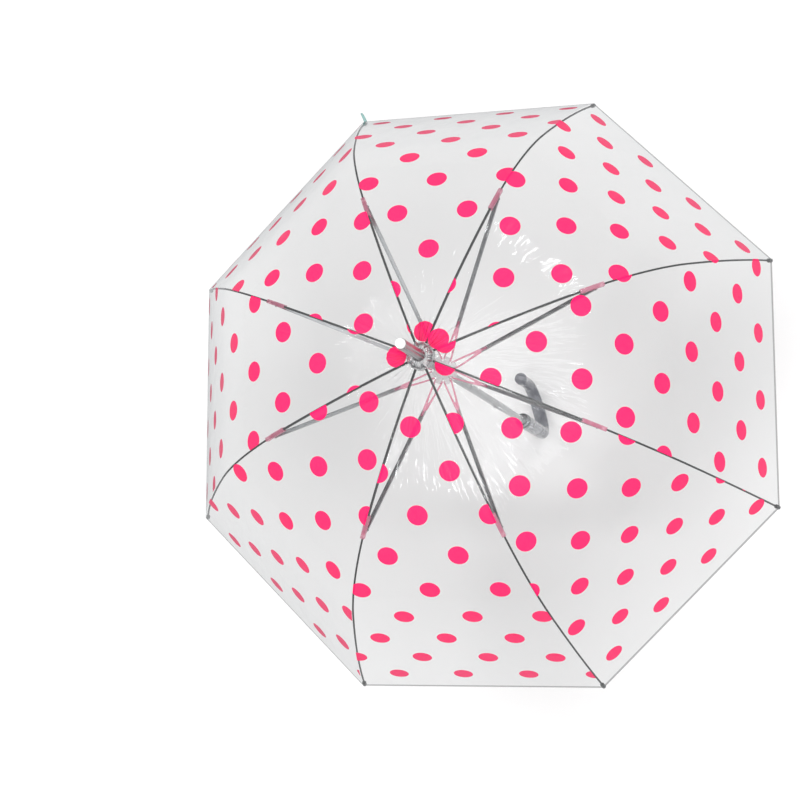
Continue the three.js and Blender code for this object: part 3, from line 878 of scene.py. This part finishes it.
def stretcher_fork(rib):
    half = fork_outline()
    outline = half + [(a, -b) for a, b in reversed(half)]
    height = 1.45 * MM
    ease = 0.35 * MM
    points, faces = [], []
    levels = ((-height, ease), (-height + ease, 0), (height - ease, 0), (height, ease))
    count = len(outline)
    for up, inset in levels:
        for k, (a, b) in enumerate(outline):
            before, after = outline[k - 1], outline[(k + 1) % count]
            way = Vector((after[0] - before[0], after[1] - before[1])).normalized()
            points.append(on_stretcher(rib, a + way.y * inset, b - way.x * inset, up))
    for level in range(len(levels) - 1):
        for k in range(count):
            j = (k + 1) % count
            low, high = level * count, (level + 1) * count
            faces.append((low + k, low + j, high + j, high + k))
    faces.append(tuple(reversed(range(count))))
    faces.append(tuple(3 * count + k for k in range(count)))
    return points, faces


def cross_pin(rib):
    """The rivet through the stretcher's end and the rib joint, with its ends rounded over."""
    origin = on_stretcher(rib, 0, 0, 0)
    up = on_stretcher(rib, 0, 0, 1) - origin
    forward = on_stretcher(rib, 1, 0, 0) - origin
    flat_end = PIN_REACH - PIN_EASE
    places = ((-PIN_REACH, 0.7), (-flat_end, 1), (flat_end, 1), (PIN_REACH, 0.7))
    stations = [(on_stretcher(rib, 0, side, 0), forward, up, scale) for side, scale in places]
    return swept(stations, round_section(PIN_R, 14))


for rib in range(1, RIBS + 1):
    body = f"stretcher_{rib}"
    bar = piece(f"stretcher_channel_{rib}", *stretcher_channel(rib), STEEL, body)
    fork = piece(f"stretcher_fork_{rib}", *stretcher_fork(rib), PINK, body)
    pin = piece(f"joint_pin_{rib}", *cross_pin(rib), STEEL, body)
    for made in (bar, fork, pin):
        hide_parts(body)

# %% [markdown]
# ## The handle
# The crook is one moulding of smoky clear plastic, thicker at the grip, slimmer round the bend, and
# swelling to a round end. A bent tube with one radius would look like plumbing, so the section's
# radius is a smooth function of the distance along the crook.

# %% Handle
GRIP_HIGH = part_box("handle")[1].z
CROOK_R = 40 * MM
ARM_R = 9 * MM
ARM_RISE = 62 * MM
ARM_END_R = 9.4 * MM
CROOK_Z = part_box("handle")[0].z + CROOK_R + ARM_R
CROOK_AZIMUTH = math.radians(105)
GRIP_LENGTH = GRIP_HIGH - CROOK_Z
BEND_LENGTH = math.pi * CROOK_R
CROOK_LENGTH = GRIP_LENGTH + BEND_LENGTH + ARM_RISE + ARM_END_R


def crook_place(along):
    """Point and direction on the crook's centre line, in its own plane."""
    if along < GRIP_LENGTH:
        return Vector((0, 0, GRIP_HIGH - along)), Vector((0, 0, -1))
    turn = (along - GRIP_LENGTH) / CROOK_R
    if turn < math.pi:
        at = Vector((CROOK_R * (1 - math.cos(turn)), 0, CROOK_Z - CROOK_R * math.sin(turn)))
        return at, Vector((math.sin(turn), 0, -math.cos(turn)))
    rise = along - GRIP_LENGTH - BEND_LENGTH
    return Vector((2 * CROOK_R, 0, CROOK_Z + rise)), Vector((0, 0, 1))


def crook_radius(along):
    stops = [0, 1.2 * MM, 60 * MM, GRIP_LENGTH - 20 * MM, GRIP_LENGTH + BEND_LENGTH * 0.5,
             GRIP_LENGTH + BEND_LENGTH, GRIP_LENGTH + BEND_LENGTH + ARM_RISE - 20 * MM]
    sizes = [9.8 * MM, 10.4 * MM, 10.5 * MM, 10.4 * MM, 9.9 * MM, 9.1 * MM, 8.2 * MM]
    end_centre = GRIP_LENGTH + BEND_LENGTH + ARM_RISE
    if along <= stops[-1]:
        return float(np.interp(along, stops, sizes))
    if along <= end_centre:
        share = (along - stops[-1]) / (end_centre - stops[-1])
        return sizes[-1] + (ARM_END_R - sizes[-1]) * (1 - math.cos(math.pi * share)) / 2
    past = min(1.0, (along - end_centre) / ARM_END_R)
    return ARM_END_R * math.sqrt(max(0.0, 1 - past * past))


def handle_stations():
    plane = Matrix.Rotation(CROOK_AZIMUTH, 4, "Z")
    ends = [CROOK_LENGTH - ARM_END_R + ARM_END_R * math.sin(math.pi / 2 * k / 8) for k in range(1, 8)]
    straight = [0, 0.4 * MM, 1.2 * MM] + [GRIP_LENGTH * k / 20 for k in range(1, 21)]
    rest = CROOK_LENGTH - ARM_END_R - GRIP_LENGTH
    curved = [GRIP_LENGTH + rest * k / 44 for k in range(1, 45)]
    stations = []
    for along in straight + curved + ends + [CROOK_LENGTH - 0.02 * MM]:
        at, way = crook_place(along)
        side = Vector((0, 1, 0))
        up = way.cross(side)
        stations.append((plane @ at, plane @ side, plane @ up, crook_radius(along)))
    return stations


handle = piece("crook_handle", *swept(handle_stations(), round_section(1.0, 40)), SMOKE, "shaft")
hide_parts("handle")

COLLAR_LOW, COLLAR_HIGH = (corner.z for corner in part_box("handle_collar"))
COLLAR_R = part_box("handle_collar")[1].x
collar_profile = [
    (BORE_R, COLLAR_LOW), (COLLAR_R - 0.5 * MM, COLLAR_LOW), (COLLAR_R, COLLAR_LOW + 0.5 * MM),
    (COLLAR_R, COLLAR_LOW + 3 * MM), (COLLAR_R - 0.5 * MM, COLLAR_LOW + 3.5 * MM),
    (COLLAR_R, COLLAR_LOW + 4 * MM), (COLLAR_R, COLLAR_HIGH - 2.4 * MM),
    (COLLAR_R - 0.7 * MM, COLLAR_HIGH - 0.9 * MM), (COLLAR_R - 2.2 * MM, COLLAR_HIGH),
    (BORE_R, COLLAR_HIGH), (BORE_R, COLLAR_LOW),
]
collar = piece("grip_collar", *turned(collar_profile, 64), COLLAR, "shaft")
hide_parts("handle_collar")

# %% [markdown]
# ## The closing strap
# A short tab of teal film is welded to the hem at the first rib's tip, and on a real umbrella it is
# wrapped round the closed canopy. It is a small sheet that narrows to its end and curls a little,
# since film never hangs flat.

# %% Closing strap
def closing_strap():
    plane = rib_plane(1)
    r, z, slope = rib_point(RIB_LENGTH + 2.5 * MM)
    length, width, uncurl = 20 * MM, 11 * MM, math.radians(95)
    points, faces = [], []
    rows, columns = 14, 8
    for k in range(rows + 1):
        turn = slope - uncurl * min(1.0, 1.6 * k / rows)
        narrow = 1 - 0.35 * max(0.0, (k / rows - 0.75) / 0.25) ** 2
        for i in range(columns + 1):
            across = (i / columns - 0.5) * width * narrow
            points.append(plane @ Vector((
                r + across * math.sin(turn) * 0.3,
                across * 0.25,
                z + across * math.cos(turn),
            )))
        r += length / rows * math.cos(turn)
        z -= length / rows * math.sin(turn)
    for k in range(rows):
        for i in range(columns):
            a = k * (columns + 1) + i
            faces.append((a, a + 1, a + columns + 2, a + columns + 1))
    return piece("strap", points, faces, STRAP_FILM, "rib_outer_1", smooth_angle=70)


strap = closing_strap()
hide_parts("closing_strap")

# %% [markdown]
# ## Floor and light
# A clear object is only as good as what it stands in. A pale floor and an even pale sky give the film
# its light grey. One broad lamp overhead lights the floor, and three narrow strips give the film and
# the metal their long highlights.

# %% Floor and lights
FLOOR_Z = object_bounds()[0].z
LAMP_AIM = Vector((0, 0, 0.4))
SKY_STRENGTH = 0.6


def make_floor():
    size = 4.0
    mesh = bpy.data.meshes.new("floor")
    corners = [(-size, -size, 0), (size, -size, 0), (size, size, 0), (-size, size, 0)]
    mesh.from_pydata(corners, [], [(0, 1, 2, 3)])
    floor = bpy.data.objects.new("floor", mesh)
    floor.location.z = FLOOR_Z
    bpy.context.collection.objects.link(floor)
    material = bpy.data.materials.new("pale_floor")
    material.use_nodes = True
    shader = material.node_tree.nodes["Principled BSDF"]
    shader.inputs["Base Color"].default_value = (0.97, 0.97, 0.97, 1)
    shader.inputs["Roughness"].default_value = 0.9
    shader.inputs["Specular IOR Level"].default_value = 0.1
    mesh.materials.append(material)


def soft_lamp(name, place, size, watts):
    data = bpy.data.lights.new(name, "AREA")
    data.shape = "RECTANGLE"
    data.size, data.size_y = size
    data.energy = watts
    lamp = bpy.data.objects.new(name, data)
    lamp.location = place
    lamp.rotation_euler = (LAMP_AIM - Vector(place)).to_track_quat("-Z", "Y").to_euler()
    bpy.context.collection.objects.link(lamp)


def make_sky():
    world = bpy.data.worlds.new("sky")
    world.use_nodes = True
    world.node_tree.nodes["Background"].inputs["Color"].default_value = (1, 1, 1, 1)
    world.node_tree.nodes["Background"].inputs["Strength"].default_value = SKY_STRENGTH
    bpy.context.scene.world = world


make_floor()
make_sky()
soft_lamp("overhead", (0.95, -0.5, 4.2), (2.8, 2.8), 90)
soft_lamp("left_strip", (-1.7, 0.9, 2.9), (1.1, 0.22), 16)
soft_lamp("right_strip", (1.5, 1.6, 2.6), (1.1, 0.22), 14)
soft_lamp("near_strip", (0.1, -1.5, 3.0), (0.9, 0.22), 12)
bpy.context.scene.view_settings.view_transform = "Standard"
